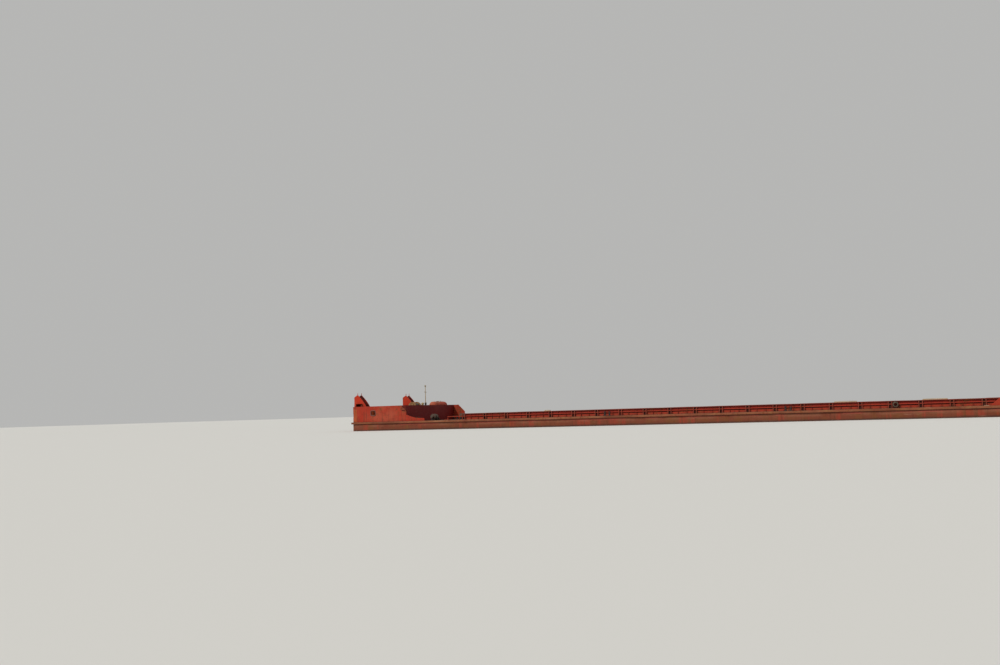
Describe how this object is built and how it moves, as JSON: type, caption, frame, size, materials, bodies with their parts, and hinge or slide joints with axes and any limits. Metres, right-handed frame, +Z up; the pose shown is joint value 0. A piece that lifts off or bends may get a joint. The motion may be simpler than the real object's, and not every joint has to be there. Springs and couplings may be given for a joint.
{
  "type": "river deck barge, 1:10 scale model",
  "caption": "Flat-bottomed open deck barge with raked ends, a low cargo coaming, raised end decks with bulwarks, push knees, winches, hatches and folding masts.",
  "frame": {"origin": "bottom centre of the bounding box: on the flat bottom, at mid length, on the centre line", "axes": "+X along the barge to the bow, +Y to port, +Z up"},
  "size_m": [8.5, 1.5, 0.807],
  "materials": {
    "hull_paint": "faded red-brown paint, rusted and streaked",
    "bulwark_paint": "weathered orange-red paint",
    "coaming_paint": "weathered red paint, dusty",
    "wall_paint": "dull dark red paint",
    "fender_paint": "worn paint under tan dust",
    "deck_paint": "worn deck paint with rust and dust",
    "lid_paint": "weathered red paint",
    "black_fittings": "black paint over cast steel, rubbed",
    "drum_steel": "grey paint, rusted at the edges",
    "mast_paint": "cream paint, rusted in spots",
    "anchor_iron": "rusted cast steel",
    "boards": "weathered cream planks",
    "tyre": "dusty black rubber",
    "windlass_paint": "pale yellow paint, rusted and chipped"
  },
  "bodies": {
    "root": {"hull": "hull_paint", "skeg_starboard": "hull_paint", "skeg_port": "hull_paint", "gunwale_starboard": "fender_paint", "gunwale_port": "fender_paint", "bow_fender": "fender_paint", "stern_fender": "fender_paint", "transom_fender_starboard": "fender_paint", "transom_fender_port": "fender_paint", "coaming_starboard": "coaming_paint", "coaming_port": "coaming_paint", "coaming_stern_end": "coaming_paint", "coaming_bow_end": "coaming_paint", "coaming_board_1": "boards", "coaming_board_2": "boards", "coaming_board_3": "boards", "tyre_fender": "tyre", "stern_raised_deck": "deck_paint", "stern_wall": "wall_paint", "stern_bulwark_starboard": "bulwark_paint", "stern_bulwark_port": "bulwark_paint", "stern_bulwark_end": "bulwark_paint", "stern_steps": "deck_paint", "push_knee_starboard": "bulwark_paint", "push_knee_port": "bulwark_paint", "stern_bollards_starboard": "black_fittings", "stern_bollards_port": "black_fittings", "well_bollards_starboard": "black_fittings", "well_bollards_port": "black_fittings", "stern_windlass_frame": "windlass_paint", "coupling_winch_starboard_frame": "black_fittings", "coupling_winch_port_frame": "black_fittings", "stern_tank": "bulwark_paint", "stern_mast_foot": "black_fittings", "bow_raised_deck": "deck_paint", "bow_wall": "coaming_paint", "bow_bulwark_starboard": "bulwark_paint", "bow_bulwark_port": "bulwark_paint", "bow_bulwark_end": "bulwark_paint", "bow_steps": "deck_paint", "bow_bollards_starboard": "black_fittings", "bow_bollards_port": "black_fittings", "bow_windlass_frame": "black_fittings", "anchor": "anchor_iron", "anchor_chain": "anchor_iron", "bow_mast_foot": "black_fittings"},
    "stern_windlass": {"stern_windlass_drum": "windlass_paint"},
    "bow_windlass": {"bow_windlass_drum": "drum_steel"},
    "coupling_winch_starboard": {"coupling_winch_starboard_drum": "drum_steel"},
    "coupling_winch_port": {"coupling_winch_port_drum": "drum_steel"},
    "stern_lid_starboard": {"stern_hatch_lid_starboard": "lid_paint"},
    "stern_lid_port": {"stern_hatch_lid_port": "lid_paint"},
    "bow_lid_starboard": {"bow_hatch_lid_starboard": "lid_paint"},
    "bow_lid_port": {"bow_hatch_lid_port": "lid_paint"},
    "stern_mast": {"stern_mast": "mast_paint"},
    "bow_mast": {"bow_mast": "mast_paint"}
  },
  "joints": [
    {"name": "stern_windlass_spin", "type": "hinge", "parent": "root", "child": "stern_windlass", "pos_m": [-3.58, -0.225, 0.525], "axis": [0, 1, 0], "continuous": true},
    {"name": "bow_windlass_spin", "type": "hinge", "parent": "root", "child": "bow_windlass", "pos_m": [3.82, -0.06, 0.481], "axis": [0, 1, 0], "continuous": true},
    {"name": "coupling_winch_starboard_spin", "type": "hinge", "parent": "root", "child": "coupling_winch_starboard", "pos_m": [-3.18, -0.43, 0.377], "axis": [0, 1, 0], "continuous": true},
    {"name": "coupling_winch_port_spin", "type": "hinge", "parent": "root", "child": "coupling_winch_port", "pos_m": [-3.18, 0.43, 0.377], "axis": [0, 1, 0], "continuous": true},
    {"name": "stern_lid_starboard_hinge", "type": "hinge", "parent": "root", "child": "stern_lid_starboard", "pos_m": [-3.935, -0.3, 0.448], "axis": [0, -1, 0], "range_deg": [0, 100]},
    {"name": "stern_lid_port_hinge", "type": "hinge", "parent": "root", "child": "stern_lid_port", "pos_m": [-3.935, 0.3, 0.448], "axis": [0, -1, 0], "range_deg": [0, 100]},
    {"name": "bow_lid_starboard_hinge", "type": "hinge", "parent": "root", "child": "bow_lid_starboard", "pos_m": [3.675, -0.42, 0.448], "axis": [0, -1, 0], "range_deg": [0, 100]},
    {"name": "bow_lid_port_hinge", "type": "hinge", "parent": "root", "child": "bow_lid_port", "pos_m": [3.675, 0.33, 0.448], "axis": [0, -1, 0], "range_deg": [0, 100]},
    {"name": "stern_mast_fold", "type": "hinge", "parent": "root", "child": "stern_mast", "pos_m": [-3.5, -0.06, 0.561], "axis": [0, -1, 0], "range_deg": [0, 90]},
    {"name": "bow_mast_fold", "type": "hinge", "parent": "root", "child": "bow_mast", "pos_m": [4.14, 0.26, 0.475], "axis": [0, -1, 0], "range_deg": [0, 90]}
  ]
}
